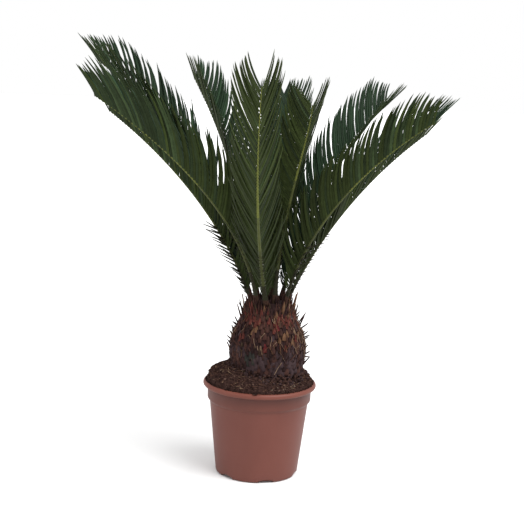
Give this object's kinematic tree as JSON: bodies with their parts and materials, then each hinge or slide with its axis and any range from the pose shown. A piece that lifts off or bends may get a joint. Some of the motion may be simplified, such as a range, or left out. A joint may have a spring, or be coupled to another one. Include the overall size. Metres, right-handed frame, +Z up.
{
  "type": "potted sago palm",
  "caption": "Sago palm with a stout scaly trunk and a crown of stiff feather-like fronds, in heaped soil in a tapered terracotta-coloured plastic nursery pot with a rounded lip",
  "frame": {"origin": "Middle of the pot's flat underside, on the floor it stands on", "axes": "+Z is up. -Y is the front, the side the picture was taken from. +X is to the right as seen from the front. The pot's axis is the Z axis; the trunk's axis is upright and 13.5 mm to its right."},
  "size_m": [0.7811, 0.8197, 0.9034],
  "materials": {
    "plastic": "dull moulded plastic",
    "soil": "crumbly potting soil",
    "bark": "rough old leaf bases",
    "foliage": "leathery, half glossy"
  },
  "bodies": {
    "root": {"pot": "plastic", "soil": "soil", "trunk": "bark", "frond_front": "foliage", "frond_front_right_inner": "foliage", "frond_right_front": "foliage", "frond_left_front": "foliage", "frond_left": "foliage", "frond_left_back": "foliage", "frond_back_left": "foliage", "frond_right_back": "foliage", "frond_back_inner": "foliage", "frond_back": "foliage", "frond_right": "foliage"}
  },
  "joints": []
}
